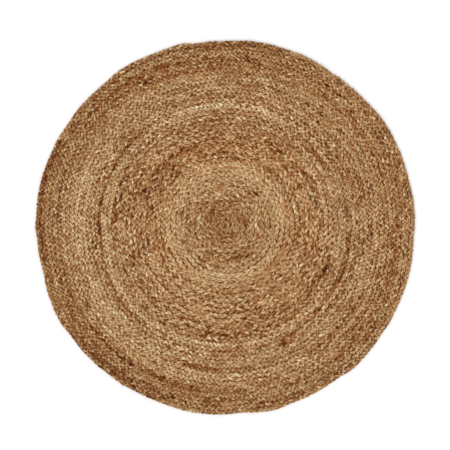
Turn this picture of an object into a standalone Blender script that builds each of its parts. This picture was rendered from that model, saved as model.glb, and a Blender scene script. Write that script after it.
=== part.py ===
"""Round jute rug: one long three-strand braid, wound flat and sewn edge to edge.

Metres, +Z up. The rug lies on its flat underside at z = 0, with the origin at the
middle of the box round its outline. The braid runs outwards and anticlockwise as seen
from above. Each turn stands up as a rounded rib, and the sewn lines are the grooves
between the ribs.
"""

import math
from typing import NamedTuple

import bmesh
import bpy
import numpy as np

# Driving dimensions
DIAMETER = 1.200  # mean width of the rug
THICKNESS = 0.009  # from the underside to the crest of a turn
SEAM_DEPTH = 0.0026  # how far a sewn line lies below the crests beside it
HUB_RADIUS = 0.009  # the doubled-over start of the braid, in the middle
INNER_TURNS = 23  # turns of the wider braid, out from the hub
INNER_WIDTH = 0.0156  # width of that braid
OUTER_TURNS = 18  # turns of the narrower braid, out to the rim
END_ANGLE = 226.0  # where the braid starts and ends, in degrees from +X
TAIL_ANGLE = 20.0  # how far round the rim the outer end takes to narrow to nothing
FACETS = 60  # flat steps in one turn

JUTE_COLOUR = (0.359, 0.199, 0.091, 1.0)
JUTE_ROUGHNESS = 0.85


class Wave(NamedTuple):
    """One even wave in the outline, which a hand-sewn rim has instead of a true circle."""

    count: int  # crests round the rim
    height: float  # from the mean circle to a crest, in metres
    phase: float  # in degrees


WAVES = (
    Wave(count=1, height=0.0052, phase=86.0),
    Wave(count=2, height=0.0013, phase=-5.0),
    Wave(count=3, height=0.0008, phase=-50.0),
    Wave(count=4, height=0.0017, phase=170.0),
    Wave(count=5, height=0.0009, phase=-72.0),
    Wave(count=6, height=0.0007, phase=139.0),
    Wave(count=7, height=0.0018, phase=-123.0),
    Wave(count=8, height=0.0013, phase=116.0),
)


class RimStep(NamedTuple):
    """One row of the rim's rounded section, from the top of the last turn down."""

    inset: float  # inwards from the widest row
    height: float  # above the floor


RIM = (
    RimStep(inset=0.0016, height=0.0074),
    RimStep(inset=0.0000, height=0.0048),
    RimStep(inset=0.0010, height=0.0018),
    RimStep(inset=0.0036, height=0.0000),
)

TURNS = INNER_TURNS + OUTER_TURNS
STEPS = TURNS * FACETS
OUTER_WIDTH = (DIAMETER / 2 - HUB_RADIUS - INNER_TURNS * INNER_WIDTH) / (OUTER_TURNS - 0.5)
SEAM_HEIGHT = THICKNESS - SEAM_DEPTH


def seam_radius(step):
    """Distance of the sewn lines from the hub's middle, after so many steps of winding.

    The first turn of the line runs round the hub. After it the line moves out by one
    width of braid in each turn, and the wider braid comes first. The last turn of the
    line is the rim: towards the braid's end it closes on the turn inside it, over
    TAIL_ANGLE, so that the end of the rim meets its own beginning.
    """
    turn = np.maximum(step / FACETS - 1.0, 0.0)
    inner = np.minimum(turn, INNER_TURNS)
    radius = HUB_RADIUS + inner * INNER_WIDTH + (turn - inner) * OUTER_WIDTH
    to_end = (STEPS + FACETS - step) * 360.0 / FACETS
    left = np.clip(to_end / TAIL_ANGLE, 0.0, 1.0)
    narrowing = 1.0 - left * left * (3.0 - 2.0 * left)
    return radius - narrowing * OUTER_WIDTH


def placed(step, radius, height):
    """Points at this step of winding and distance from the middle, with the rim's waves.

    The waves fade towards the middle with the square of the distance.
    """
    angle = np.radians(END_ANGLE) + 2.0 * math.pi * step / FACETS
    waves = sum(w.height * np.cos(w.count * angle + math.radians(w.phase)) for w in WAVES)
    radius = radius + waves * (2.0 * radius / DIAMETER) ** 2
    heights = np.broadcast_to(height, radius.shape)
    return np.column_stack([radius * np.cos(angle), radius * np.sin(angle), heights])


class Rows:
    """Rows of points along the winding, numbered in the order in which they are added."""

    def __init__(self):
        self.blocks = []
        self.count = 0

    def add(self, steps, radii, heights):
        """Adds a row and gives back the numbers of its points."""
        self.blocks.append(placed(steps, radii, heights))
        self.count += len(steps)
        return np.arange(self.count - len(steps), self.count)

    def add_middle(self, height):
        """Adds a point over the hub's middle and gives back its number."""
        return int(self.add(np.zeros(1), np.zeros(1), height)[0])

    def centred(self):
        """All the points, with the middle of their box over the origin."""
        points = np.concatenate(self.blocks)
        middle = (points.max(0) + points.min(0)) / 2
        return points - [middle[0], middle[1], 0.0]


def strip(first, second):
    """Quads between two rows of point numbers of the same length."""
    return np.column_stack([first[:-1], first[1:], second[1:], second[:-1]]).tolist()


def fan(middle, row):
    """Triangles from one point to each step of a row."""
    return [(middle, a, b) for a, b in zip(row[:-1], row[1:])]


def crests(seam_radii, seam_heights):
    """Distances and heights of the ribs' tops, halfway between a seam and the next one out.

    A rib is as high as it is wide in proportion to the full braid, so that it starts
    and ends level with the seams beside it.
    """
    width = seam_radii[FACETS:] - seam_radii[:-FACETS]
    in_wider_braid = np.arange(STEPS + 1) < (INNER_TURNS + 1) * FACETS
    fullness = np.clip(width / np.where(in_wider_braid, INNER_WIDTH, OUTER_WIDTH), 0.0, 1.0)
    radii = (seam_radii[FACETS:] + seam_radii[:-FACETS]) / 2
    beside = (seam_heights[FACETS:] + seam_heights[:-FACETS]) / 2
    return radii, beside + fullness * (THICKNESS - beside)


def rug_mesh():
    """The wound braid as one body: ribbed top, rounded rim and flat underside."""
    rows = Rows()
    steps = np.arange(STEPS + FACETS + 1)
    on_rim = steps >= STEPS
    seam_radii = seam_radius(steps) - on_rim * RIM[0].inset
    seam_heights = np.where(on_rim, RIM[0].height, SEAM_HEIGHT)
    seam = rows.add(steps, seam_radii, seam_heights)
    crest = rows.add(steps[: STEPS + 1], *crests(seam_radii, seam_heights))
    faces = strip(crest, seam[: STEPS + 1]) + strip(seam[FACETS:], crest)

    lowest = seam[on_rim]
    for step in RIM[1:]:
        radii = seam_radius(steps[on_rim]) - step.inset
        row = rows.add(steps[on_rim], radii, step.height)
        faces += strip(row, lowest)
        lowest = row

    faces += fan(rows.add_middle(THICKNESS), seam[: FACETS + 1])
    faces += fan(rows.add_middle(0.0), lowest[::-1])
    mesh = bpy.data.meshes.new("rug")
    mesh.from_pydata(rows.centred().tolist(), [], faces)
    return mesh


def close_ends(mesh):
    """Welds the points where the braid starts and ends, and turns every face outwards."""
    shell = bmesh.new()
    shell.from_mesh(mesh)
    bmesh.ops.remove_doubles(shell, verts=shell.verts, dist=1e-6)
    bmesh.ops.triangulate(shell, faces=shell.faces)
    bmesh.ops.recalc_face_normals(shell, faces=shell.faces)
    shell.to_mesh(mesh)
    shell.free()


def jute():
    """Dry, matt jute fibre."""
    material = bpy.data.materials.new("jute")
    material.use_nodes = True
    shader = material.node_tree.nodes["Principled BSDF"]
    shader.inputs["Base Color"].default_value = JUTE_COLOUR
    shader.inputs["Roughness"].default_value = JUTE_ROUGHNESS
    shader.inputs["Metallic"].default_value = 0.0
    return material


def main():
    """Clears the scene and makes the rug."""
    for old in list(bpy.data.objects):
        bpy.data.objects.remove(old)
    mesh = rug_mesh()
    close_ends(mesh)
    mesh.shade_smooth()
    mesh.set_sharp_from_angle(angle=math.radians(50.0))
    mesh.materials.append(jute())
    rug = bpy.data.objects.new("rug", mesh)
    bpy.context.scene.collection.objects.link(rug)


main()
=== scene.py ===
"""Round jute rug with its looks: three strands of raw jute, plaited and wound flat.

Metres, +Z up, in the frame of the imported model. The braid winds outwards and
anticlockwise as seen from above, on the same lines as the solid that it stands for.
Each strand is a flat hank that crosses over and under the other two, and stray fibres
stand out of it.
"""

import logging
import math
from collections.abc import Mapping, Sequence
from dataclasses import dataclass, field
from enum import Enum, IntEnum
from itertools import pairwise, product
from typing import NamedTuple

import bpy
import numpy as np
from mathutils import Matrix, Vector
from numpy.typing import NDArray


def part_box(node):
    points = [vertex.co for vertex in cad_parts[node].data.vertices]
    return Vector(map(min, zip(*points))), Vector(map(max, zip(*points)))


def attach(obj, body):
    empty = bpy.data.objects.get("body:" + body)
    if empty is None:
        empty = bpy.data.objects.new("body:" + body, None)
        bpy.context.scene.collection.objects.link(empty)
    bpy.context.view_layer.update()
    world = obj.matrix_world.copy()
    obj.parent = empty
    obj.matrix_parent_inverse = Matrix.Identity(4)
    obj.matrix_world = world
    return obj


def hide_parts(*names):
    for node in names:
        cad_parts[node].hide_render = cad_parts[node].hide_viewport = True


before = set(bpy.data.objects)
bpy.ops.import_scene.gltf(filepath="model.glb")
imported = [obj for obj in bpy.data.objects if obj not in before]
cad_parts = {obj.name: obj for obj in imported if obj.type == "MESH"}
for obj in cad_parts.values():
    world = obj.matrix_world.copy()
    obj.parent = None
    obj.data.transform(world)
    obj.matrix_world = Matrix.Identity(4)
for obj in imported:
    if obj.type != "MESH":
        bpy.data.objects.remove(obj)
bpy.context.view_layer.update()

Floats = NDArray[np.float64]
Numbers = NDArray[np.int64]

LOG = logging.getLogger("rug")
BODY = "root"
NODE = "rug"
FULL_TURN = 2.0 * math.pi
A_LOBE = 1.0  # spacing of what differs from lobe to lobe of a strand
MILLIMETRES = 1000.0  # in a metre
UP = (0.0, 0.0, 1.0)
STRANDS = "abc"  # the three strands' letters


# ---------------------------------------------------------------- shared helpers


def eased(share: Floats) -> Floats:
    """Goes from 0 to 1 as the share does, level at both ends: 3 t^2 - 2 t^3.

    Args:
        share: Any numbers. Those outside 0 to 1 are held at the ends.

    Returns:
        The eased numbers.
    """
    held = np.clip(share, 0.0, 1.0)
    return held * held * (3.0 - 2.0 * held)


def drift(draws: np.random.Generator, places: Floats, spacing: float) -> Floats:
    """Smooth random numbers of mean 0 and deviation about 1, along a line or over a plane.

    A normal number is drawn for every spacing, over a plane for each crossing of a square
    grid, and each value is the eased blend of the ones that it lies between. The gain
    makes up for what the blend evens out.

    Args:
        draws: The source of the random numbers.
        places: Where the values are wanted: distances along a line, or x and y.
        spacing: The distance between the drawn numbers.

    Returns:
        One number for each place.
    """
    places = places.reshape(len(places), -1)
    axes = places.shape[1]
    gain = {1: 1.16, 2: 1.35}[axes]
    at = (places - places.min(axis=0)) / spacing
    low = at.astype(np.int64)
    drawn = draws.standard_normal(low.max(axis=0) + 2)
    blend = eased(at - low)
    drifts = np.zeros(len(places))
    for corner in product((0, 1), repeat=axes):
        weight = np.where(corner, blend, 1.0 - blend).prod(axis=1)
        drifts += weight * drawn[tuple((low + corner).T)]
    return gain * drifts


class Unevenness(NamedTuple):
    """How much something drifts by chance, and over what distance."""

    amount: float  # about one standard deviation
    spacing: float  # in the unit of the places at which it is drawn

    def drawn(self, draws: np.random.Generator, places: Floats) -> Floats:
        """The drift at these places."""
        return self.amount * drift(draws, places, self.spacing)


def unit(vectors: Floats) -> Floats:
    """The vectors of the last axis, each divided by its length."""
    return vectors / np.linalg.norm(vectors, axis=-1, keepdims=True)


def ringed(centre: Floats, first: Floats, second: Floats, across: Floats, up: Floats) -> Floats:
    """Rings of points round a line.

    Args:
        centre: The line's points.
        first: A direction across the line, at each of them.
        second: The other one, at right angles to both.
        across: How far each point of a ring lies in the first direction.
        up: How far in the second.

    Returns:
        The points, ring by ring.
    """
    points = centre[..., None, :] + first[..., None, :] * across[..., None]
    return points + second[..., None, :] * up[..., None]


def ring_quads(rings: int, sides: int) -> Numbers:
    """The quads that join each ring of points to the next.

    Args:
        rings: How many rings there are, with their points numbered ring by ring.
        sides: Points of a ring.

    Returns:
        The four points of each quad.
    """
    here = np.arange(sides)
    there = (here + 1) % sides
    base = np.arange(rings - 1)[:, None] * sides
    after = base + sides
    corners = [base + here, after + here, after + there, base + there]
    return np.stack(corners, axis=-1).reshape(-1, 4)


def in_scene(name: str, data: bpy.types.ID) -> bpy.types.Object:
    """Makes an object of this mesh, lamp or camera, and links it to the scene.

    Args:
        name: The object's name.
        data: What it shows.

    Returns:
        The object.
    """
    made = bpy.data.objects.new(name, data)
    bpy.context.scene.collection.objects.link(made)
    return made


def linear(colour: Sequence[float]) -> tuple[float, float, float, float]:
    """Turns a screen colour into the linear one that shaders use.

    The numbers are those of the sRGB standard.

    Args:
        colour: Red, green and blue from 0 to 255.

    Returns:
        Linear red, green, blue and an alpha of 1.
    """
    red, green, blue = (
        ((share + 0.055) / 1.055) ** 2.4 if share > 0.04045 else share / 12.92
        for share in (part / 255.0 for part in colour)
    )
    return red, green, blue, 1.0


@dataclass
class Skin:
    """A mesh as arrays, ready to be put into Blender."""

    points: Floats
    faces: list[Numbers]
    values: dict[str, Floats]
    bake_map: Floats | None = None
    flat_faces: int = 0

    def into(self, name: str, material: bpy.types.Material) -> bpy.types.Object:
        """Makes the object, smooth but for its last faces, with its attributes and map.

        Args:
            name: The name of the piece.
            material: Its finish.

        Returns:
            The new object, linked to the scene, which rides on the rug's body.
        """
        mesh = bpy.data.meshes.new(name)
        corners = np.concatenate([face.ravel() for face in self.faces])
        sides = np.concatenate([np.full(len(face), face.shape[1]) for face in self.faces])
        starts = np.concatenate([[0], np.cumsum(sides)[:-1]])
        mesh.vertices.add(len(self.points))
        mesh.vertices.foreach_set("co", self.points.astype(np.float32).ravel())
        mesh.loops.add(len(corners))
        mesh.loops.foreach_set("vertex_index", corners.astype(np.int32))
        mesh.polygons.add(len(sides))
        mesh.polygons.foreach_set("loop_start", starts.astype(np.int32))
        mesh.update(calc_edges=True)
        smooth = np.ones(len(sides), dtype=bool)
        smooth[len(sides) - self.flat_faces :] = False
        mesh.polygons.foreach_set("use_smooth", smooth)
        for title, numbers in self.values.items():
            kind = "FLOAT_VECTOR" if numbers.ndim == 2 else "FLOAT"
            layer = mesh.attributes.new(title, kind, "POINT")
            part = "vector" if numbers.ndim == 2 else "value"
            layer.data.foreach_set(part, numbers.astype(np.float32).ravel())
        if self.bake_map is not None:
            uv = mesh.uv_layers.new(name="OFBake")
            uv.data.foreach_set("uv", self.bake_map.astype(np.float32).ravel())
        mesh.materials.append(material)
        piece = in_scene(name, mesh)
        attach(piece, BODY)
        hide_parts(NODE)
        triangles = int((sides - 2).sum())
        LOG.info("%s: %d points, %d triangles", name, len(self.points), triangles)
        return piece


# ------------------------------------------------------------ shaders as expressions


class Nodes:
    """The nodes of one material."""

    def __init__(self, name: str) -> None:
        """Starts an empty material of this name."""
        self.material = bpy.data.materials.new(name)
        self.material.use_nodes = True
        self.tree = self.material.node_tree
        self.tree.nodes.clear()

    def add(
        self,
        kind: str,
        settings: Mapping[str, object] | None = None,
        sockets: Mapping[str | int, object] | None = None,
    ) -> bpy.types.Node:
        """Adds any node.

        Args:
            kind: The node's type, without its ShaderNode prefix.
            settings: Its own properties. "stops" are a ramp's levels and colours.
            sockets: The values or the links of its inputs, by name or number.

        Returns:
            The node.
        """
        node = self.tree.nodes.new("ShaderNode" + kind)
        for title, setting in (settings or {}).items():
            if title == "stops":
                self.set_stops(node.color_ramp, setting)
            else:
                setattr(node, title, setting)
        for title, value in (sockets or {}).items():
            if isinstance(value, Number):
                value = value.socket
            if isinstance(value, bpy.types.NodeSocket):
                self.tree.links.new(value, node.inputs[title])
            else:
                node.inputs[title].default_value = value
        return node

    @staticmethod
    def set_stops(ramp: bpy.types.ColorRamp, stops: Sequence["Stop"]) -> None:
        """Sets a ramp's stops.

        Args:
            ramp: The ramp of a new node, with its two own stops.
            stops: The stops, lowest first.
        """
        for _ in stops[2:]:
            ramp.elements.new(0.5)
        for element, stop in zip(ramp.elements, stops, strict=True):
            element.position = stop.level
            element.color = linear(stop.colour)

    def number(self, name: str) -> "Number":
        """The mesh attribute of this name, as a number."""
        return Number(self, self.add("Attribute", {"attribute_name": name}).outputs["Fac"])

    def noise(self, vector: bpy.types.NodeSocket, by: Sequence[float], detail: float) -> "Number":
        """Noise about zero, from -0.5 to 0.5.

        Args:
            vector: Where it is read.
            by: How many of its features there are to a unit, along each axis.
            detail: How many finer layers it has.

        Returns:
            The noise.
        """
        scaled = self.add("VectorMath", {"operation": "MULTIPLY"}, {0: vector, 1: by})
        sockets = {"Vector": scaled.outputs["Vector"], "Scale": 1.0, "Detail": detail}
        return Number(self, self.add("TexNoise", None, sockets).outputs[0]) - 0.5

    def tinted(
        self, colour: bpy.types.NodeSocket, share: "Number", tint: Sequence[float]
    ) -> bpy.types.NodeSocket:
        """Multiplies a colour by a tint.

        Args:
            colour: The socket that gives the colour.
            share: How much of the tint counts, from 0 to 1.
            tint: Red, green and blue factors.

        Returns:
            The socket of the tinted colour.
        """
        mix = self.add(
            "Mix",
            {"data_type": "RGBA", "blend_type": "MULTIPLY", "clamp_factor": True},
            {0: share, 6: colour, 7: (*tint, 1.0)},
        )
        return mix.outputs[2]

    def surface(self, sockets: Mapping[str | int, object]) -> bpy.types.Material:
        """Ends the material in a principled shader.

        Args:
            sockets: The values or the links of the shader's inputs.

        Returns:
            The finished material.
        """
        shader = self.add("BsdfPrincipled", None, sockets)
        self.add("OutputMaterial", None, {"Surface": shader.outputs["BSDF"]})
        return self.material


class Number:
    """A number in a material, on which Python's operators add Math nodes."""

    def __init__(self, nodes: Nodes, socket: bpy.types.NodeSocket) -> None:
        """Wraps the socket that gives the number."""
        self.nodes = nodes
        self.socket = socket

    def maths(self, operation: str, first: object, second: object) -> "Number":
        """Adds a Math node.

        Args:
            operation: Its operation, in Blender's words.
            first: Its first number or socket.
            second: Its second number or socket.

        Returns:
            The result.
        """
        node = self.nodes.add("Math", {"operation": operation}, {0: first, 1: second})
        return Number(self.nodes, node.outputs[0])

    def __add__(self, other: object) -> "Number":
        """Sum."""
        return self.maths("ADD", self, other)

    def __sub__(self, other: object) -> "Number":
        """Difference."""
        return self.maths("SUBTRACT", self, other)

    def __rsub__(self, other: object) -> "Number":
        """Difference, with the plain number first."""
        return self.maths("SUBTRACT", other, self)

    def __mul__(self, other: object) -> "Number":
        """Product."""
        return self.maths("MULTIPLY", self, other)

    def __pow__(self, other: object) -> "Number":
        """Power."""
        return self.maths("POWER", self, other)


# -------------------------------------------------------------------- the finish


class Stop(NamedTuple):
    """One stop of a ramp from dark jute to pale jute."""

    level: float
    colour: tuple[int, int, int]  # as on a screen, 0 to 255


class Grain(NamedTuple):
    """One layer of the noise that streaks the strands."""

    weight: float  # how far it moves the level
    scale: tuple[float, float, float]  # features to a metre along, and to a unit round
    detail: float  # how many finer layers it has


@dataclass(frozen=True)
class JuteFinish:
    """Raw untwisted jute: dry, mostly matt, streaked along its fibres.

    The level of a point is its hank's tone, plus its contrast times the streaks less the
    painted shade of its place between the strands. A ramp turns the level into a colour.
    """

    shades: tuple[Stop, ...] = (
        Stop(0.00, (58, 22, 5)),
        Stop(0.14, (94, 45, 16)),
        Stop(0.28, (126, 77, 38)),
        Stop(0.43, (150, 106, 63)),
        Stop(0.56, (169, 128, 84)),
        Stop(0.72, (192, 157, 112)),
        Stop(0.88, (215, 185, 141)),
        Stop(1.00, (235, 212, 172)),
    )
    red_tint: tuple[float, float, float] = (1.03, 0.80, 0.64)
    grey_tint: tuple[float, float, float] = (0.88, 0.99, 1.16)
    crevice_shade: float = 1.10  # painted shade: how far the level falls between the strands
    crevice_power: float = 1.7  # of the depth, so that the painted shade starts gently
    broad: Grain = Grain(0.72, (90.0, 1.8, 1.8), 2.0)  # streaks about 2 mm wide
    fine: Grain = Grain(0.56, (150.0, 7.0, 7.0), 2.0)  # about half a millimetre wide
    kinks_and_glints: Grain = Grain(0.75, (210.0, 0.8, 0.8), 1.0)  # where fibres bend, and painted glints, about 5 mm long
    roughness: float = 0.80
    smoother: float = 0.3  # how far pale streaks are less rough
    gloss: float = 0.12
    relief: float = 0.0005  # height of the fine streaks
    broad_relief: float = 0.5  # height of the broad ones, as a share of it

    def material(self) -> bpy.types.Material:
        """Builds the material that all the strands share.

        Returns:
            The material.
        """
        nodes = Nodes("raw_jute")
        along = nodes.add("Attribute", {"attribute_name": "along"}).outputs["Vector"]
        # the third grain paints glints where fibres catch the light, beside the kinks
        grains = (self.broad, self.fine, self.kinks_and_glints)
        broad, fine, kinks_and_glints = (nodes.noise(along, grain.scale, grain.detail) for grain in grains)
        streaks = broad * self.broad.weight + fine * self.fine.weight + kinks_and_glints * self.kinks_and_glints.weight
        # painted shade between the strands, deeper the less open a point lies
        shade = (1.0 - nodes.number("open")) ** self.crevice_power * self.crevice_shade
        level = nodes.number("tone") + (streaks - shade) * nodes.number("contrast")
        ramp = nodes.add("ValToRGB", {"stops": self.shades}, {"Fac": level})
        warmth = nodes.number("warmth")
        colour = nodes.tinted(ramp.outputs["Color"], warmth, self.red_tint)
        colour = nodes.tinted(colour, warmth * -1.0, self.grey_tint)
        roughness = self.roughness - streaks * self.smoother
        height = broad * self.broad_relief + fine
        bump = nodes.add("Bump", None, {"Distance": self.relief, "Height": height})
        sockets = {
            "Base Color": colour,
            "Roughness": roughness,
            "Normal": bump.outputs["Normal"],
            "Specular IOR Level": self.gloss,
        }
        return nodes.surface(sockets)


# -------------------------------------------------------------------- the winding


class Wave(NamedTuple):
    """One even wave in the outline, which a hand-sewn rim has instead of a true circle."""

    count: int  # crests round the rim
    height: float  # from the mean circle to a crest, in metres
    phase: float  # in degrees


@dataclass(frozen=True)
class Winding:
    """The flat coil in which the braid lies, on the same lines as the rug's solid."""

    radius: float = 0.600
    hub: float = 0.009
    inner_turns: float = 23.0
    inner_width: float = 0.0156
    outer_turns: float = 18.0
    first_turn: float = -0.45  # the braid's narrow start lies curled in the hub
    hub_shift: tuple[float, float] = (0.0008, 0.0070)  # of the hub, from the solid's
    start_angle: float = 226.0  # degrees from +X where turns are counted and the braid ends
    tail_angle: float = 20.0  # degrees over which its end narrows to nothing
    waves: tuple[Wave, ...] = (
        Wave(1, 0.0052, 86.0),
        Wave(2, 0.0013, -5.0),
        Wave(3, 0.0008, -50.0),
        Wave(4, 0.0017, 170.0),
        Wave(5, 0.0009, -72.0),
        Wave(6, 0.0007, 139.0),
        Wave(7, 0.0018, -123.0),
        Wave(8, 0.0013, 116.0),
    )
    ripples: tuple[Wave, ...] = (
        Wave(10, 0.0009, 10.0),
        Wave(13, 0.0009, -124.0),
        Wave(14, 0.0007, -50.0),
        Wave(18, 0.0008, -72.0),
    )
    wave_power: int = 2  # of the share of the radius by which the waves count
    ripple_power: int = 12

    @property
    def turns(self) -> float:
        """Turns of braid in the whole coil."""
        return self.inner_turns + self.outer_turns

    @property
    def outer_width(self) -> float:
        """Width of the narrower braid, whose last edge lies on average at the rug's radius."""
        return (self.radius - self.inner_radius) / (self.outer_turns - 0.5)

    @property
    def inner_radius(self) -> float:
        """Distance from the hub at which the narrower braid starts."""
        return self.hub + self.inner_turns * self.inner_width

    def seam(self, turn: Floats) -> Floats:
        """Distance of the sewn line from the hub's middle.

        The line moves out by one width in each turn. Over the tail it comes in by one
        width, as the braid narrows to nothing.

        Args:
            turn: How many turns the line has run.

        Returns:
            The distances.
        """
        wound = turn - 1.0
        inner = np.minimum(wound, self.inner_turns)
        radius = self.hub + inner * self.inner_width + (wound - inner) * self.outer_width
        to_end = (self.turns + 1.0 - turn) * 360.0 / self.tail_angle
        return radius - (1.0 - eased(to_end)) * self.outer_width

    def edges(self, turn: Floats) -> tuple[Floats, Floats]:
        """Distances of the braid's inner and outer edge from the hub's middle.

        In its first turn the braid lies over the hub, and its inner edge is one width
        in from its outer edge, but not past the middle.

        Args:
            turn: How many turns the braid has run.

        Returns:
            The inner and the outer distances.
        """
        outer = self.seam(turn + 1.0)
        over_hub = np.maximum(outer - self.inner_width, 0.0)
        return np.where(turn < 1.0, over_hub, self.seam(turn)), outer

    def placed(self, turn: Floats, radius: Floats) -> Floats:
        """Points of the coil, before it is centred.

        A wave moves a point outwards by its height times its cosine, times the square of
        the distance from the middle over the rug's radius. The ripples, finer than the
        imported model's waves, count by the twelfth power, so only in the last turns. The
        hub's shift counts by the square of what is left of the way to the rim.

        Args:
            turn: How many turns the braid has run.
            radius: The distances from the hub's middle.

        Returns:
            The x and y of the points.
        """
        angle = math.radians(self.start_angle) + FULL_TURN * turn
        share = radius / self.radius
        for waves, power in ((self.waves, self.wave_power), (self.ripples, self.ripple_power)):
            for wave in waves:
                rise = wave.height * np.cos(wave.count * angle + math.radians(wave.phase))
                radius = radius + rise * share**power
        points = np.stack([radius * np.cos(angle), radius * np.sin(angle)], axis=-1)
        to_rim = np.clip(1.0 - share, 0.0, 1.0)
        return points + to_rim[..., None] ** 2 * np.array(self.hub_shift)

    def middle(self) -> Floats:
        """The middle of the outline's box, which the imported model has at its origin.

        Returns:
            Its x and y.
        """
        every_quarter_degree = 4 * 360 + 1
        turn = np.linspace(self.turns - 1.0, self.turns, every_quarter_degree)
        rim = self.placed(turn, self.edges(turn)[1])
        return (rim.max(axis=0) + rim.min(axis=0)) / 2.0

    def outline(self, angles: Floats, inset: float) -> Floats:
        """Points on the rim, moved in.

        Args:
            angles: Their angles, in turns from the braid's end.
            inset: How far in from the rim.

        Returns:
            The x and y of the points.
        """
        turn = self.turns - 1.0 + angles
        return self.placed(turn, self.edges(turn)[1] - inset) - self.middle()


# ---------------------------------------------------------------- tones of the hanks


class Band(NamedTuple):
    """A place along the radius, with how the hanks look there beside the usual tone."""

    name: str
    radius: float
    paler: float
    warmer: float
    mottled: float  # how much the hanks differ there, 1 as on average


class Hank(Enum):
    """Kinds of odd hank that were plaited in, as (paler, warmer)."""

    NEARLY_BLACK = (-0.29, 0.5)
    DARK_RED = (-0.17, 0.55)
    DARK = (-0.135, 0.1)
    RED = (-0.085, 0.3)
    GREY = (-0.155, -0.9)
    STRAW = (0.035, 0.0)
    PALE = (0.07, 0.0)
    BLEACHED = (0.13, 0.0)


class Streak(NamedTuple):
    """A stretch of the coil where hanks of one odd kind were plaited in."""

    radius: float  # from the hub at its middle, in millimetres
    start: float  # in degrees from +X
    end: float
    width: float = 6.5  # half its width across the turns, in millimetres
    strands: str = "abc"  # which of the three have the odd hank


BANDS = (
    Band("worn start", 0.000, -0.14, -0.10, 0.9),
    Band("first turns", 0.055, -0.07, 0.02, 0.85),
    Band("mottled turns", 0.090, 0.02, -0.06, 0.9),
    Band("straw ring begins", 0.140, 0.055, -0.08, 0.7),
    Band("straw ring", 0.170, 0.085, 0.0, 0.30),
    Band("straw ring ends", 0.195, 0.06, 0.12, 0.75),
    Band("brown field", 0.225, 0.020, 0.16, 1.0),
    Band("brown field's middle", 0.285, 0.035, 0.12, 1.1),
    Band("brown field ends", 0.345, 0.02, 0.06, 1.1),
    Band("pale thin ring", 0.385, 0.03, -0.04, 0.9),
    Band("between the rings", 0.415, 0.01, -0.02, 1.15),
    Band("pale outer field", 0.465, 0.03, 0.0, 0.95),
    Band("outer field ends", 0.490, 0.02, 0.02, 0.9),
    Band("red-brown edge begins", 0.520, -0.02, 0.02, 1.0),
    Band("red-brown edge", 0.600, -0.07, -0.04, 1.0),
)

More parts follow.
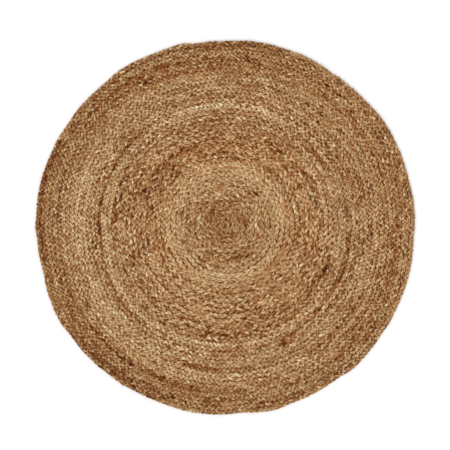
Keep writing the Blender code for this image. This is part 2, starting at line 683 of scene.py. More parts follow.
# A row holds a streak's values in their order, and may leave out the last ones.
STREAKS: Mapping[Hank, tuple[Streak, ...]] = {
    hank: tuple(Streak(*row) for row in rows)
    for hank, rows in {
        Hank.NEARLY_BLACK: (
            (117, 299, 307, 4), (124, 163, 172, 4), (133, 233, 241, 4), (137, 43, 50, 4),
            (139, 355, 362, 4), (140, 199, 207, 4), (141, 211, 219, 4), (150, 157, 167, 4),
            (227, 129, 137, 4), (254, 187, 194, 4), (271, 272, 278, 4), (342, 95, 102, 4),
            (343, 333, 342), (391, 315, 335), (394, 334, 358), (477, 302, 336, 6.5, "b"),
            (524, 234, 248, 6.5, "bc"), (527, 216, 236, 6.5, "ab"), (562, 319, 328, 6.5, "ab"),
        ),
        Hank.DARK_RED: (
            (62, 115, 169), (112, 256, 311, 6.5, "b"), (129, 74, 105, 6.5, "a"),
            (230, 344, 361, 6.5, "ac"), (285, 119, 161, 6.5, "c"), (294, 315, 336, 7, "ab"),
            (300, 35, 40, 4), (303, 33, 50, 6.5, "bc"), (323, 224, 228, 4),
            (329, 325, 333, 6.5, "bc"), (339, 292, 297, 4), (342, 268, 273, 4),
            (343, 254, 298, 6.5, "ab"), (345, 299, 311, 6.5, "bc"), (347, 335, 341, 4),
            (359, 167, 189, 6.5, "ac"), (359, 173, 176, 4), (363, 184, 188, 4), (369, 31, 43),
            (405, 167, 186), (407, 294, 302, 8), (417, 157, 160, 4), (423, 15, 26, 10, "bc"),
            (424, 250, 253, 4), (445, 15, 23, 6.5, "ab"), (451, 247, 267), (455, 253, 258, 4),
            (464, 356, 361, 4), (512, 316, 334, 7), (525, 246, 258, 8), (526, 210, 262, 4, "a"),
            (532, 115, 121),
        ),
        Hank.DARK: (
            (50, 111, 144, 6), (63, -8, 18), (102, 132, 202, 8), (114, 264, 345),
            (137, 38, 53, 6.5, "c"), (137, 231, 241, 6.5, "a"), (248, 142, 174, 7),
            (276, 34, 58, 7), (322, 49, 106, 6), (340, 144, 178), (342, 258, 279, 7),
            (361, 230, 250), (365, 137, 160, 7), (368, 22, 53, 7), (372, 198, 220, 6),
            (398, 214, 232, 6), (400, 168, 187, 5), (401, 121, 154), (421, 92, 109, 7),
            (452, 252, 286), (474, 21, 58, 7), (495, 66, 104, 8), (502, 138, 160, 7),
            (524, 257, 277, 7), (530, 68, 92, 7), (533, 190, 218, 8, "ab"), (536, 122, 149, 7),
            (543, 79, 108, 8), (550, 12, 26, 7), (559, 262, 286, 8), (574, 204, 250, 4),
            (575, 142, 160, 7), (575, 288, 308, 6), (577, 213, 252, 11, "ab"),
            (581, 58, 101, 10, "bc"), (584, 178, 198, 7), (586, 81, 112, 7), (587, 112, 147, 6),
            (594, 153, 191, 8),
        ),
        Hank.RED: (
            (186, 50, 104, 6), (196, -50, 24, 7), (209, 257, 293, 10), (227, 35, 67),
            (228, 188, 214), (230, 67, 108, 5), (235, 4, 33, 7), (241, 75, 140, 8),
            (245, 283, 318, 7), (263, 109, 147, 8, "ab"), (264, -25, 20, 11), (267, 28, 137, 12),
            (281, 96, 163, 11), (283, 302, 355, 11), (323, 130, 158, 8), (330, 268, 317, 6),
            (337, 8, 34, 8), (352, 296, 323, 8), (363, 50, 90, 7), (394, 267, 319),
            (403, 148, 198, 6), (408, 184, 233, 9), (409, 127, 169, 7), (415, 28, 85, 7, "ab"),
            (448, 28, 84, 8), (449, 267, 305, 6.5, "a"), (463, 350, 371, 6.5, "ab"),
            (512, 52, 98, 10), (513, 99, 120, 10), (517, 8, 60, 10), (538, 308, 348, 11, "ac"),
            (544, -8, 10, 8), (548, 54, 76, 8), (552, 109, 134, 10), (552, 183, 228, 9),
        ),
        Hank.GREY: (
            (136, 332, 363, 6.5, "c"), (259, 120, 158, 6), (289, 12, 21, 6.5, "ab"),
            (320, 201, 206, 5), (358, 152, 167, 6.5, "ab"), (386, 3, 14),
        ),
        Hank.STRAW: (
            (455, 146, 261, 50), (485, 98, 121, 13), (572, 310, 356, 15),
        ),
        Hank.PALE: (
            (130, 180, 232, 7), (163, 215, 343, 16), (183, -12, 76, 22), (186, 76, 201, 19),
            (193, 194, 284, 9), (212, 50, 148, 6), (215, 70, 102, 6), (248, 198, 250, 9),
            (252, 240, 276, 9), (258, 251, 276, 7), (286, 12, 44, 8), (289, 282, 302, 7),
            (292, 31, 72, 7), (305, 216, 254, 8), (314, -40, 24, 7), (332, 212, 230, 7),
            (350, 177, 194, 7), (373, 250, 290, 5), (373, 258, 285, 8), (378, 232, 331),
            (383, 182, 250, 5), (390, 22, 113, 8), (390, 119, 168), (392, 32, 58, 7),
            (404, 305, 331), (405, 261, 284, 7), (411, 240, 262, 7), (418, 236, 258, 12),
            (430, 298, 318, 8), (435, 150, 171, 7), (445, 210, 258, 13), (449, 184, 204, 8),
            (475, 201, 244, 9), (478, 342, 362), (486, 245, 289, 14), (518, 296, 308, 10),
            (520, 92, 108, 8), (522, 184, 204), (530, 98, 118, 8), (556, 92, 107, 7),
            (565, 43, 60, 8), (572, 2, 16, 7), (581, 2, 46, 7),
        ),
        Hank.BLEACHED: (
            (388, 63, 121), (393, 166, 232), (474, 154, 193), (477, 270, 302, 9),
        ),
    }.items()
}


class Stations(NamedTuple):
    """Where one strand's rings lie along the braid, a number for each ring."""

    phase: Floats  # of the strand's own crossing from edge to edge, in radians
    turn: Floats  # how many turns the braid has run
    along: Floats  # how far it has run
    length: Floats  # of one whole plait there
    width: Floats  # of the braid
    full: Floats  # its width before it narrows at the ends
    sway: Floats  # how far outwards it strays from its line

    @property
    def size(self) -> Floats:
        """Height of the braid as a share of its full height, which follows its width."""
        return np.clip(self.width / self.full, 0.0, 1.0) ** 0.5


class Shades(NamedTuple):
    """How one strand looks, a row for each ring and a column for each of its points."""

    tone: Floats
    warmth: Floats
    contrast: Floats  # of the streaks and of the painted shade between the strands


@dataclass(frozen=True)
class HankTones:
    """How pale, how warm and how mottled the jute is, over the rug."""

    winding: Winding
    bands: tuple[Band, ...] = BANDS
    streaks: Mapping[Hank, tuple[Streak, ...]] = field(default_factory=lambda: STREAKS)
    usual: float = 0.672  # tone of a hank that nothing changes
    shows: Unevenness = Unevenness(0.30, A_LOBE)  # how much more or less an odd hank shows
    least_shown: float = 0.4
    most_shown: float = 1.4
    mixed_far: Unevenness = Unevenness(0.62, 0.28)
    mixed_near: Unevenness = Unevenness(0.78, A_LOBE)
    dark_from: float = 0.85  # mixture from which a lobe is darker
    dark_within: float = 0.7
    dark_by: float = 0.220
    dark_warmer: float = 0.38
    pale_from: float = 0.75  # mixture below zero from which a lobe is paler
    pale_within: float = 0.8
    pale_by: float = 0.060
    tone_far: Unevenness = Unevenness(0.015, 0.45)
    tone_between: Unevenness = Unevenness(0.020, 0.10)
    tone_near: Unevenness = Unevenness(0.055, A_LOBE)
    warmth_far: Unevenness = Unevenness(0.10, 0.5)
    warmth_near: Unevenness = Unevenness(0.10, A_LOBE)
    bundles: Unevenness = Unevenness(0.090, 0.010)  # of the fibres in a strand
    even: float = 0.4  # contrast where the hanks are all alike
    contrasts: tuple[float, float] = (0.5, 1.1)  # the least and the most
    flat_darker: float = 0.10  # makes up for the painted shade that a low contrast takes away

    def banded(self, part: str, radius: Floats) -> Floats:
        """One of the bands' numbers, blended at these distances from the hub."""
        radii = [band.radius for band in self.bands]
        return np.interp(radius, radii, [getattr(band, part) for band in self.bands])

    def across(
        self, turn: Floats, radius: Floats, strand: str, patchy: Floats
    ) -> tuple[Floats, Floats]:
        """Tone and warmth from the bands and the odd hanks.

        Args:
            turn: How many turns the braid has run, for each station.
            radius: How far from the hub the strand lies there.
            strand: The strand's letter.
            patchy: How much an odd hank shows there, about 1 on average.

        Returns:
            The tones and the warmths.
        """
        tone = self.banded("paler", radius)
        warmth = self.banded("warmer", radius)
        for hank, streaks in self.streaks.items():
            shares = [self.share(s, turn, radius) for s in streaks if strand in s.strands]
            paler, warmer = hank.value
            tone += sum(shares) * patchy * paler
            warmth += sum(shares) * patchy * warmer
        return tone + self.usual, warmth

    def share(self, streak: Streak, turn: Floats, radius: Floats) -> Floats:
        """How much one stretch of odd hanks counts at each station.

        Its line moves out with the coil, by one width of braid in a turn. The share
        falls across the line as 1.5 - distance / half width, and at the two ends as
        0.5 - distance past the end / half width, both eased and multiplied.

        Args:
            streak: The stretch.
            turn: How many turns the braid has run, for each station.
            radius: How far from the hub the strand lies there.

        Returns:
            Shares from 0 to 1.
        """
        middle = ((streak.start + streak.end) / 2.0 - self.winding.start_angle) / 360.0
        past = (turn - middle + 0.5) % 1.0 - 0.5
        line, width = streak.radius / MILLIMETRES, streak.width / MILLIMETRES
        narrower = line > self.winding.inner_radius
        pitch = self.winding.outer_width if narrower else self.winding.inner_width
        off = np.abs(radius - line - pitch * past)
        half = (streak.end - streak.start) / 720.0
        beyond = (np.abs(past) - half) * FULL_TURN * line
        return eased(1.5 - off / width) * eased(0.5 - beyond / width)

    def shades(
        self, draws: np.random.Generator, at: Stations, place: Floats, strand: str, sides: int
    ) -> Shades:
        """Tone, warmth and contrast of one strand.

        To what the bands and the odd hanks give, drifts are added over long stretches and
        from lobe to lobe. Where a mixture of two more is high, a lobe is dark and red,
        and where it is low, pale. The bundles of fibres in a strand differ as well.

        Args:
            draws: The source of the random numbers.
            at: The strand's stations.
            place: How far from the hub the strand lies there.
            strand: The strand's letter.
            sides: Points of a ring.

        Returns:
            The shades.
        """
        lobe = (at.phase - math.pi / 4.0) / math.pi
        patchy = np.clip(1.0 + self.shows.drawn(draws, lobe), self.least_shown, self.most_shown)
        tone, warmth = self.across(at.turn, place, strand, patchy)
        mixed = self.mixed_far.drawn(draws, at.along) + self.mixed_near.drawn(draws, lobe)
        dark = eased((mixed - self.dark_from) / self.dark_within)
        pale = eased((-mixed - self.pale_from) / self.pale_within)
        hank = (
            self.tone_far.drawn(draws, at.along)
            + self.tone_between.drawn(draws, at.along)
            + self.tone_near.drawn(draws, lobe)
            - self.dark_by * dark
            + self.pale_by * pale
        )
        mottled = self.banded("mottled", place)
        warmth = warmth + self.warmth_far.drawn(draws, at.along)
        warmth = warmth + self.warmth_near.drawn(draws, lobe) + self.dark_warmer * dark * mottled
        bundles = [self.bundles.drawn(draws, at.along) for _ in range(sides)]
        contrast = (self.even + (1.0 - self.even) * mottled).clip(*self.contrasts)[:, None]
        tone = (tone + hank * mottled)[:, None] - self.flat_darker * (1.0 - contrast)
        tone = tone + contrast * np.stack(bundles, axis=-1)
        warmth = np.broadcast_to(warmth[:, None], tone.shape)
        return Shades(tone, warmth, np.broadcast_to(contrast, tone.shape))


# ---------------------------------------------------------------------- the braid


class Source(IntEnum):
    """What a stream of random numbers is for, as what it adds to the braid's seed."""

    PLAITS = 0
    PULL = 3
    SEAMS = 4
    PACE = 5
    SHAPE = 10
    SHADES = 20


class Course(NamedTuple):
    """How one strand runs, a row for each ring."""

    centre: Floats  # x, y and z
    offset: Floats  # outwards from the braid's middle line
    place: Floats  # distance from the hub
    lean: Floats  # of its flat side from level, in radians
    flat_way: Floats  # the direction across its flat side
    thick_way: Floats  # the direction through it


class Strand(NamedTuple):
    """One whole strand, a row for each ring and a column for each point of a ring."""

    phase: Floats  # a single number for each ring
    points: Floats
    values: dict[str, Floats]  # the mesh attributes


@dataclass(frozen=True)
class Braid:
    """A flat three-strand plait, wound on the coil.

    With the phase p going up by a full turn in each plait length, strand k lies to the
    side by reach cos(p + k/3 turn) and up by lift sin(2 (p + k/3 turn)). So each strand
    runs from an edge to the middle over the others, and back out under them. Its flat
    side leans by atan(lean cos(p)^2 / sin(p)), so that it stands upright at the edges.
    The narrower braid is plaited a little tighter and more evenly.
    """

    winding: Winding
    tones: HankTones
    material: bpy.types.Material

    inner_plait: float = 0.0550  # length of one whole plait in the wider braid
    outer_plait: float = 0.0450
    first_plait: float = 0.3  # the first one's, as a share of the others'
    plaits: Unevenness = Unevenness(0.18, 0.06)  # of that length, as a share
    plait_limits: tuple[float, float] = (0.6, 1.6)
    pace: Unevenness = Unevenness(0.17, FULL_TURN / 4.0)  # of a strand's phase, in radians
    sway: Unevenness = Unevenness(0.00032, 0.045)  # of a turn from its line on its own
    pull: Unevenness = Unevenness(0.0011, 0.05)  # of the turns together, over the plane

    reach: float = 0.350  # sideways, as a share of the braid's width
    tight_reach: float = 0.965  # the narrower braid's reach, as a share of the wider one's
    tight_uneven: float = 0.6  # how uneven it is beside the wider one
    reaches: Unevenness = Unevenness(0.11, 0.018)  # of the reach, as a share
    strays: Unevenness = Unevenness(0.030, 0.014)  # sideways, as a share of the width
    lift: float = 0.0020
    lifts: Unevenness = Unevenness(0.00036, 0.014)  # of a strand's height
    middle_height: float = 0.0045
    lowest: float = 0.55  # the middle's height where the braid ends, as a share of that
    lean: float = 0.42  # how far a strand's flat side leans, on the braid's top
    leans: Unevenness = Unevenness(0.13, 0.02)  # in radians
    tightest: float = 0.004  # least radius for which a strand's direction is worked out

    strand_width: float = 0.65  # as a share of the braid's width
    widths: Unevenness = Unevenness(0.10, 0.022)  # of that, as a share
    strand_thickness: float = 0.0046
    thicknesses: Unevenness = Unevenness(0.07, 0.02)  # of that, as a share
    fullness: float = 1.12  # makes up for a ring without a point at its very top
    lumps: Unevenness = Unevenness(0.075, 0.011)  # of each point's distance from the middle
    bunched_narrower: float = 0.12  # where a strand turns over at an edge, as a share
    bunched_thicker: float = 0.45  # in the same place
    end_taper: float = 0.005  # length over which a strand narrows at its ends
    end_size: float = 0.15  # of the very ends, as a share

    shade: float = 0.62  # painted shade: how dark it is halfway up the braid
    seam_shade: float = 0.22  # how much more painted shade at a seam
    outline: float = 0.18  # painted shade: how dark the sides of a strand are
    seam_side_shade: float = 0.20  # how much more of that painted shade at a seam
    seam: float = 0.45  # how open the seams look, by their painted shade, on average
    seams: Unevenness = Unevenness(0.9, 0.11)  # of that, along a turn
    widest_seam: float = 2.2  # the most open one
    rim_within: float = 0.05  # of a turn, over which the painted shade leaves the last turn's outer edge

    gather: float = 0.14  # how far the rings close up where a strand turns over
    steps: int = 720  # at which the coil is measured, in each turn
    rings: int = 12  # cross sections in one plait length
    sides: int = 6  # points of a cross section
    runs: int = 4  # pieces into which each strand is cut, for their maps
    map_rows: int = 34  # strips in a piece's bake map
    stretch: float = 1.1  # length of a strand, as a share of the braid's
    seed: int = 4127

    @property
    def round(self) -> Floats:
        """The angles of a ring's points round the strand."""
        return FULL_TURN * np.arange(self.sides) / self.sides

    def draws(self, source: Source, number: int = 0) -> np.random.Generator:
        """A new stream of random numbers, for the braid or for one of its strands."""
        return np.random.default_rng(self.seed + source + number)

    def route(self, number: int) -> Stations:
        """The stations of one strand's rings.

        With t going up evenly, the strand's phase at its rings is t - gather sin(2 t),
        which sets them closer where the strand turns over an edge of the braid.

        Args:
            number: Which of the three strands, from 0.

        Returns:
            The stations.
        """
        first, last = self.winding.first_turn, self.winding.turns
        fine = np.linspace(first, last, int((last - first) * self.steps) + 1)
        inner, outer = self.winding.edges(fine)
        line = self.winding.placed(fine, (inner + outer) / 2.0)
        steps = np.linalg.norm(np.diff(line, axis=0), axis=1)
        along = np.concatenate([[0.0], np.cumsum(steps)])
        change = [self.winding.inner_turns, self.winding.inner_turns + 1.0]
        length = np.interp(fine, change, [self.inner_plait, self.outer_plait])
        begun = np.where(fine < 1.0, (outer - inner) / self.winding.inner_width, 1.0)
        length = length * (self.first_plait + (1.0 - self.first_plait) * begun)
        draws = self.draws(Source.PLAITS)
        length = length * (1.0 + self.plaits.drawn(draws, along)).clip(*self.plait_limits)
        phase = np.concatenate([[0.0], np.cumsum(FULL_TURN * steps / length[1:])])
        sway = self.sway.drawn(draws, along)
        full = np.interp(fine, change, [self.winding.inner_width, self.winding.outer_width])

        ahead = FULL_TURN * number / len(STRANDS)
        steady = np.arange(ahead, phase[-1] + ahead, FULL_TURN / self.rings)
        own = steady - self.gather * np.sin(2.0 * steady)
        own = own + self.pace.drawn(self.draws(Source.PACE, number), steady)
        stations = np.clip(own - ahead, 0.0, phase[-1])
        rows = (fine, along, length, outer - inner, full, sway)
        return Stations(own, *(np.interp(stations, phase, row) for row in rows))

    def course(self, at: Stations, draws: np.random.Generator) -> Course:
        """The line on which one strand runs, and how its flat side lies.

        Args:
            at: The stations.
            draws: The source of the random numbers.

        Returns:
            The course.
        """
        widths = [self.winding.outer_width, self.winding.inner_width]
        tight = np.interp(at.full, widths, [self.tight_reach, 1.0])
        loose = np.interp(at.full, widths, [self.tight_uneven, 1.0])
        reach = tight * self.reach * at.width
        reach = reach * (1.0 + loose * self.reaches.drawn(draws, at.along))
        offset = reach * np.cos(at.phase) + at.sway
        offset = offset + loose * at.width * self.strays.drawn(draws, at.along)
        lift = self.lift * at.size
        height = self.middle_height * (self.lowest + (1.0 - self.lowest) * at.size)
        height = height + lift * np.sin(2.0 * at.phase) + self.lifts.drawn(draws, at.along)

        radius = sum(self.winding.edges(at.turn)) / 2.0
        nearby = 1e-4  # of a turn
        ahead = self.winding.placed(at.turn + nearby, radius)
        behind = self.winding.placed(at.turn - nearby, radius)
        forward = unit(ahead - behind)
        outward = np.stack([forward[:, 1], -forward[:, 0]], axis=-1)
        line = self.winding.placed(at.turn, radius) - self.winding.middle()
        pulled = self.pull.drawn(self.draws(Source.PULL), line)
        line = line + outward * (offset + pulled)[:, None]

        rate = FULL_TURN / at.length
        onward = 1.0 + offset / np.maximum(radius, self.tightest)
        sideways = -reach * np.sin(at.phase) * rate
        heading = forward * onward[:, None] + outward * sideways[:, None]
        upward = 2.0 * lift * np.cos(2.0 * at.phase) * rate
        heading = unit(np.column_stack([heading, upward]))
        side = unit(np.cross(heading, UP))
        above = np.cross(side, heading)
        lean = np.arctan2(self.lean * np.cos(at.phase) ** 2, np.sin(at.phase))
        lean = lean + self.leans.drawn(draws, at.along)
        cosine, sine = np.cos(lean)[:, None], np.sin(lean)[:, None]
        return Course(
            centre=np.column_stack([line, height]),
            offset=offset,
            place=np.maximum(radius + offset, 0.0),
            lean=lean,
            flat_way=side * cosine - above * sine,
            thick_way=above * cosine + side * sine,
        )

    def section(self, at: Stations, draws: np.random.Generator) -> tuple[Floats, Floats]:
        """The cross section of one strand at its stations, as an uneven oval.

        Args:
            at: The stations.
            draws: The source of the random numbers.

        Returns:
            How far each point of a ring lies across the flat side, and through it.
        """
        from_end = np.minimum(at.along, at.along[-1] - at.along) / self.end_taper
        taper = self.end_size + (1.0 - self.end_size) * eased(from_end)
        bunched = np.cos(at.phase) ** 4
        width = self.strand_width * at.width * (1.0 + self.widths.drawn(draws, at.along))
        width = width * taper * (1.0 - self.bunched_narrower * bunched)
        thickness = self.strand_thickness * at.size
        thickness = thickness * (1.0 + self.thicknesses.drawn(draws, at.along))
        thickness = thickness * taper * (1.0 + self.bunched_thicker * bunched)
        lumps = [1.0 + self.lumps.drawn(draws, at.along) for _ in range(self.sides)]
        across = np.stack(lumps, axis=-1) * np.cos(self.round) * width[:, None] / 2.0
        through = np.stack(lumps, axis=-1) * np.sin(self.round) * thickness[:, None] / 2.0
        return across, through * self.fullness

    def openness(self, at: Stations, height: Floats, across: Floats) -> Floats:
        """How open to the light each point lies, from 0 deep between the strands to 1.

        The finish paints shade by it: darkest halfway up the braid, along the seams between
        the turns, which differ from stretch to stretch, and at a strand's own sides. The rim is
        open.

        Args:
            at: The stations.
            height: Of each point.
            across: How far each point lies outwards from the braid's middle line.

        Returns:
            Numbers from 0 to 1.
        """
        raised = np.abs(height - self.middle_height) / self.middle_height
        outwards = np.clip(2.0 * across / at.full[:, None], -1.0, 1.0)
        to_edge = np.abs(outwards)
        outer_seam = self.seams.drawn(self.draws(Source.SEAMS), at.turn)
        inner_seam = np.interp(at.turn - 1.0, at.turn, outer_seam)
        seam = np.where(across > 0.0, outer_seam[:, None], inner_seam[:, None])
        seam = np.clip(self.seam + seam, 0.0, self.widest_seam)
        # painted shade, more at open seams and on a strand's sides
        shade = np.clip(self.shade + self.seam_shade * seam * to_edge**4, 0.0, 1.0)
        outline = self.outline + self.seam_side_shade * seam * to_edge**3
        opened = (1.0 - (1.0 - raised) * shade) * (1.0 - outline * np.cos(self.round) ** 4)
        last_turn = (at.turn[:, None] - self.winding.turns + 1.0) / self.rim_within
        at_rim = np.clip(last_turn, 0.0, 1.0) * np.maximum(outwards, 0.0)
        return np.clip(np.maximum(opened, at_rim), 0.0, 1.0)

    def strand(self, number: int, at: Stations) -> Strand:
        """One strand from end to end.

        Args:
            number: Which of the three strands, from 0.
            at: The stations.

        Returns:
            The strand.
        """
        draws = self.draws(Source.SHAPE, number)
        course = self.course(at, draws)
        across, through = self.section(at, draws)
        points = ringed(course.centre, course.flat_way, course.thick_way, across, through)
        points[:, :, 2] = np.maximum(points[:, :, 2], 0.0)
        outwards = course.offset[:, None] + across * np.cos(course.lean)[:, None]
        draws = self.draws(Source.SHADES, number)
        hanks = self.tones.shades(draws, at, course.place, STRANDS[number], self.sides)
        along = np.empty((*across.shape, 3))
        apart = 100.0 * number  # so that the strands do not look alike
        along[..., 0] = (at.along * self.stretch + apart)[:, None]
        along[..., 1] = np.cos(self.round)
        along[..., 2] = np.sin(self.round)
        values = {
            "tone": hanks.tone,
            "warmth": hanks.warmth,
            "open": self.openness(at, points[:, :, 2], outwards),
            "contrast": hanks.contrast,
            "along": along,
        }
        return Strand(at.phase, points, values)

    def piece(self, name: str, whole: Strand, run: slice) -> bpy.types.Object:
        """One run of a strand as a closed tube.

        The quads run along the strand, and two quads close each end, a ring of six points.

        Args:
            name: The name of the piece.
            whole: The whole strand.
            run: Which of its rings.

        Returns:
            The object.
        """
        points = whole.points[run]
        count = len(points)
        start = np.array([[0, 1, 2, 3], [0, 3, 4, 5]])
        end = start[:, ::-1] + (count - 1) * self.sides
        skin = Skin(
            points=points.reshape(-1, 3),
            faces=[ring_quads(count, self.sides), start, end],
            values={
                title: rows[run].reshape(-1, *rows.shape[2:])
                for title, rows in whole.values.items()
            },
            bake_map=self.strips(count),
            flat_faces=len(start) + len(end),
        )
        return skin.into(name, self.material)

    def strips(self, count: int) -> Floats:
        """The bake map: the run is cut into rows, and each is unrolled into a strip.

        Args:
            count: Rings in the run.

        Returns:
            A place in the map for each corner of each face.
        """
        map_width, margin = 0.985, 0.03  # the ends' four quads lie beside the strips
        first_cap, cap_size, cap_spacing = np.array([0.99, 0.1]), 0.006, 0.02
        in_row = math.ceil((count - 1) / self.map_rows)
        number = np.arange(count - 1)
        row, column = number // in_row, number % in_row
        share = margin + (1.0 - 2.0 * margin) * np.arange(self.sides + 1) / self.sides
        low = (row[:, None] + share[:-1]) / self.map_rows
        high = (row[:, None] + share[1:]) / self.map_rows
        ends = (map_width * column / in_row, map_width * (column + 1) / in_row)
        left, right = (np.broadcast_to(end[:, None], low.shape) for end in ends)
        corners = [(left, low), (right, low), (right, high), (left, high)]
        quads = np.stack([np.stack(pair, axis=-1) for pair in corners], axis=2).reshape(-1, 2)
        square = np.array([[0.0, 0.0], [1.0, 0.0], [1.0, 1.0], [0.0, 1.0]]) * cap_size
        caps = [square + first_cap + [0.0, cap_spacing * cap] for cap in range(4)]
        return np.concatenate([quads, *caps])

    def build(self) -> tuple[list[bpy.types.Object], list[Strand]]:
        """Makes the three strands, each in its runs.

        Returns:
            The pieces and the strands.
        """
        pieces, strands = [], []
        for number, letter in enumerate(STRANDS):
            at = self.route(number)
            whole = self.strand(number, at)
            strands.append(whole)
            lengths = np.linspace(0.0, at.along[-1], self.runs + 1)
            cuts = np.searchsorted(at.along, lengths).clip(0, len(at.along) - 1)
            for run, (first, last) in enumerate(pairwise(cuts), start=1):
                pieces.append(self.piece(f"strand_{letter}_{run}", whole, slice(first, last + 1)))
        return pieces, strands


@dataclass(frozen=True)
class SewnGround:
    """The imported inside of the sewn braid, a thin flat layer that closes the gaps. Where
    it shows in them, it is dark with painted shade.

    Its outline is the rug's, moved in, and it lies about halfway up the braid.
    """

    winding: Winding
    material: bpy.types.Material
    inset: float = 0.0055
    bottom: float = 0.0030
    top: float = 0.0063
    tone: float = 0.53
    warmth: float = 0.3
    # painted shade: the low openness makes the layer dark brown in the gaps
    openness: float = 0.48
    streak_scale: tuple[float, float, float] = (1.0, 60.0, 0.0)  # along x, y and z
    columns: int = 240
    rows: int = 12

    def build(self) -> bpy.types.Object:
        """Makes the layer as two nets of rings that meet at the outline.

        A point of ring n lies at the share n / rows of the way from the middle to the
        moved outline, and the two nets differ in height alone.

        Returns:
            The object.
        """
        edge = self.winding.outline(np.arange(self.columns) / self.columns, self.inset)
        hub = -self.winding.middle()
        shares = np.arange(1, self.rows + 1) / self.rows
        flat = (hub + shares[:, None, None] * (edge - hub)).reshape(-1, 2)
        count = len(flat)
        levels = (self.top, self.bottom)
        nets = [np.column_stack([flat, np.full(count, level)]) for level in levels]
        poles = [[*hub, level] for level in levels]
        points = np.concatenate([*nets, poles])

        here = np.arange(self.columns)
        there = (here + 1) % self.columns
        upper = ring_quads(self.rows, self.columns)
        lower = upper[:, ::-1] + count
        rim = (self.rows - 1) * self.columns
        wall = np.column_stack([here, count + here, count + there, there]) + rim
        top_pole, bottom_pole = (np.full(self.columns, 2 * count + pole) for pole in range(2))
        fan = np.column_stack([top_pole, here, there])
        under = np.column_stack([bottom_pole, count + there, count + here])
        values = {
            "tone": np.full(len(points), self.tone),
            "warmth": np.full(len(points), self.warmth),
            "open": np.full(len(points), self.openness),
            "contrast": np.ones(len(points)),
            "along": points * self.streak_scale,
        }
        layer = Skin(points, [upper, lower, wall, fan, under], values)
        return layer.into("sewn_ground", self.material)


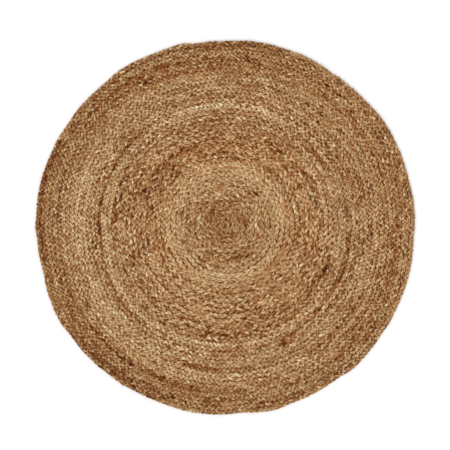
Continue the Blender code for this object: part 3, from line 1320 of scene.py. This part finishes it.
@dataclass(frozen=True)
class StrayFibres:
    """Single fibres and thin wisps that have worked loose from the strands."""

    strands: Sequence[Strand]
    material: bpy.types.Material
    count: int = 5200
    rings: int = 4
    sides: int = 3
    crest: float = 0.45  # least sin(2 phase) of a place from which one starts
    depth: float = 0.0004  # of its start below a strand's top
    angle: float = 0.5  # to the strand, as one deviation in radians
    bend: float = 0.28  # of its length, as one deviation
    shortest: float = 0.006
    longest: float = 0.026
    mostly_short: float = 1.6  # power of the random share between those
    thinnest: float = 0.00010
    thickest: float = 0.00022
    mostly_thin: float = 2.0  # the same for the thickness
    thinner_tip: float = 0.6  # as a share
    clear: float = 0.0007  # how far every fibre rises at its tip
    highest: float = 0.0022
    mostly_low: float = 1.5  # the same for the height of its arch
    arch: float = 0.85  # how much of a half wave the arch runs through
    tone: float = 0.72
    tones: float = 0.16  # one deviation
    warmths: float = 0.3  # one deviation
    # next to no painted shade
    openness: float = 0.95
    streaks: tuple[float, float] = (0.02, 0.3)  # how far they run along and round a fibre
    seed: int = 977

    @property
    def share(self) -> Floats:
        """How far along a fibre its rings lie."""
        return np.linspace(0.0, 1.0, self.rings)

    def paths(self, draws: np.random.Generator) -> Floats:
        """The fibres' middle lines.

        A fibre starts in the top of a strand. It runs off at an angle to the strand, as
        start + direction s + sideways bend s^2, and rises by clear sin(pi s / 2) and its
        own rise times sin(arch pi s).

        Args:
            draws: The source of the random numbers.

        Returns:
            A row for each fibre, a column for each ring, and x, y and z.
        """
        crests = np.concatenate([strand.points[:, 1:3].mean(axis=1) for strand in self.strands])
        middles = [strand.points.mean(axis=1) for strand in self.strands]
        headings = np.concatenate([unit(np.gradient(middle, axis=0)) for middle in middles])
        phases = np.concatenate([strand.phase for strand in self.strands])
        on_top = np.nonzero(np.sin(2.0 * phases) > self.crest)[0]
        chosen = draws.choice(on_top, self.count, replace=False)
        start = crests[chosen] - [0.0, 0.0, self.depth]

        angle = draws.normal(0.0, self.angle, self.count)[:, None]
        way = unit(headings[chosen, :2]) * draws.choice([-1.0, 1.0], self.count)[:, None]
        way = way * np.cos(angle) + self.aside(way) * np.sin(angle)
        spread = draws.random(self.count) ** self.mostly_short
        length = self.shortest + (self.longest - self.shortest) * spread
        bend = length * draws.normal(0.0, self.bend, self.count)
        rise = self.highest * draws.random(self.count) ** self.mostly_low
        onward = way[:, None, :] * (length[:, None] * self.share)[:, :, None]
        sideways = self.aside(way)[:, None, :] * (bend[:, None] * self.share**2)[:, :, None]
        height = start[:, 2, None] + self.clear * np.sin(math.pi * self.share * 0.5)
        height = height + rise[:, None] * np.sin(math.pi * self.share * self.arch)
        flat = start[:, None, :2] + onward + sideways
        return np.concatenate([flat, height[:, :, None]], axis=-1)

    @staticmethod
    def aside(way: Floats) -> Floats:
        """These directions in the plane, each turned to its left."""
        return np.stack([-way[:, 1], way[:, 0]], axis=-1)

    def build(self) -> bpy.types.Object:
        """Makes all the fibres as one mesh of thin three-sided tubes with thinner tips.

        Returns:
            The object.
        """
        draws = np.random.default_rng(self.seed)
        middle = self.paths(draws)
        forward = unit(np.gradient(middle, axis=1))
        side = unit(np.cross(forward, UP))
        above = np.cross(side, forward)
        spread = draws.random(self.count) ** self.mostly_thin
        thickness = self.thinnest + (self.thickest - self.thinnest) * spread
        radius = (thickness[:, None] * (1.0 - self.thinner_tip * self.share))[:, :, None]
        turn = FULL_TURN * np.arange(self.sides) / self.sides
        points = ringed(middle, side, above, radius * np.cos(turn), radius * np.sin(turn))

        each = self.rings * self.sides
        total = self.count * each
        ring = np.arange(self.sides)
        parts = (ring_quads(self.rings, self.sides), ring, ring[::-1] + each - self.sides)
        own = np.arange(self.count)[:, None, None] * each
        faces = [(own + part).reshape(-1, part.shape[-1]) for part in parts]

        run, across = self.streaks
        along = np.empty((self.count, self.rings, self.sides, 3))
        along[..., 0] = (np.arange(self.count)[:, None] + self.share * run)[:, :, None]
        along[..., 1] = np.cos(turn) * across
        along[..., 2] = np.sin(turn) * across
        tone = self.tone + self.tones * draws.normal(0.0, 1.0, self.count)
        warmth = self.warmths * draws.normal(0.0, 1.0, self.count)
        values = {
            "tone": np.repeat(tone, each),
            "warmth": np.repeat(warmth, each),
            "open": np.full(total, self.openness),
            "contrast": np.ones(total),
            "along": along.reshape(-1, 3),
        }
        fibres = Skin(points.reshape(-1, 3), faces, values)
        return fibres.into("stray_fibres", self.material)


# ---------------------------------------------------------------------- the studio


@dataclass(frozen=True)
class Studio:
    """Pale floor, even sky, one soft light from the picture's lower left, and camera."""

    floor_size: float = 60.0
    floor_colour: tuple[float, float, float, float] = (0.93, 0.93, 0.925, 1.0)
    floor_roughness: float = 0.9
    floor_drop: float = 0.0002  # below the rug, so that no strand lies in its plane
    sky: float = 0.86
    key: float = 1.15
    key_softness: float = 50.0  # the light's width as seen from the rug, in degrees
    key_from: tuple[float, float, float] = (-0.55, -0.75, 1.05)
    lens: float = 100.0
    sensor: float = 36.0
    frame_width: float = 1.4291  # of the photograph, at the rug
    aim: tuple[float, float] = (-0.0005, 0.0086)
    sight: float = 100.0  # how far the camera sees

    def floor(self) -> None:
        """Lays a wide pale floor under the rug."""
        half = self.floor_size / 2.0
        low = -self.floor_drop
        corners = [(-half, -half, low), (half, -half, low), (half, half, low), (-half, half, low)]
        mesh = bpy.data.meshes.new("floor")
        mesh.from_pydata(corners, [], [(0, 1, 2, 3)])
        nodes = Nodes("floor_paint")
        sockets = {
            "Base Color": self.floor_colour,
            "Roughness": self.floor_roughness,
            "Specular IOR Level": 0.0,
        }
        mesh.materials.append(nodes.surface(sockets))
        in_scene("floor", mesh)

    def light(self) -> None:
        """Sets the even sky and the soft key light."""
        world = bpy.data.worlds.new("studio")
        world.use_nodes = True
        background = world.node_tree.nodes["Background"]
        background.inputs["Color"].default_value = (1.0, 1.0, 1.0, 1.0)
        background.inputs["Strength"].default_value = self.sky
        bpy.context.scene.world = world
        lamp = bpy.data.lights.new("key", "SUN")
        lamp.energy = self.key
        lamp.angle = math.radians(self.key_softness)
        key = in_scene("key", lamp)
        key.rotation_mode = "QUATERNION"
        key.rotation_quaternion = Vector(self.key_from).to_track_quat("Z", "Y")

    def camera(self, height: float) -> None:
        """Hangs the camera straight above, with the photograph's frame at the rug's top.

        Args:
            height: The height of the rug's top.
        """
        data = bpy.data.cameras.new("camera")
        data.lens = self.lens
        data.sensor_width = self.sensor
        data.clip_end = self.sight
        camera = in_scene("camera", data)
        distance = self.lens * self.frame_width / self.sensor
        camera.location = (*self.aim, height + distance)
        bpy.context.scene.camera = camera

    def build(self) -> None:
        """Sets up the floor, the lights, the camera and the plain view."""
        self.floor()
        self.light()
        self.camera(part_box(NODE)[1][2])
        bpy.context.scene.view_settings.view_transform = "Standard"


def main() -> None:
    logging.basicConfig(level=logging.INFO, format="%(name)s: %(message)s")
    Studio().build()
    jute = JuteFinish().material()
    winding = Winding()
    pieces, strands = Braid(winding, HankTones(winding), jute).build()
    ground = SewnGround(winding, jute).build()
    stray = StrayFibres(strands, jute).build()


if __name__ == "__main__":
    main()
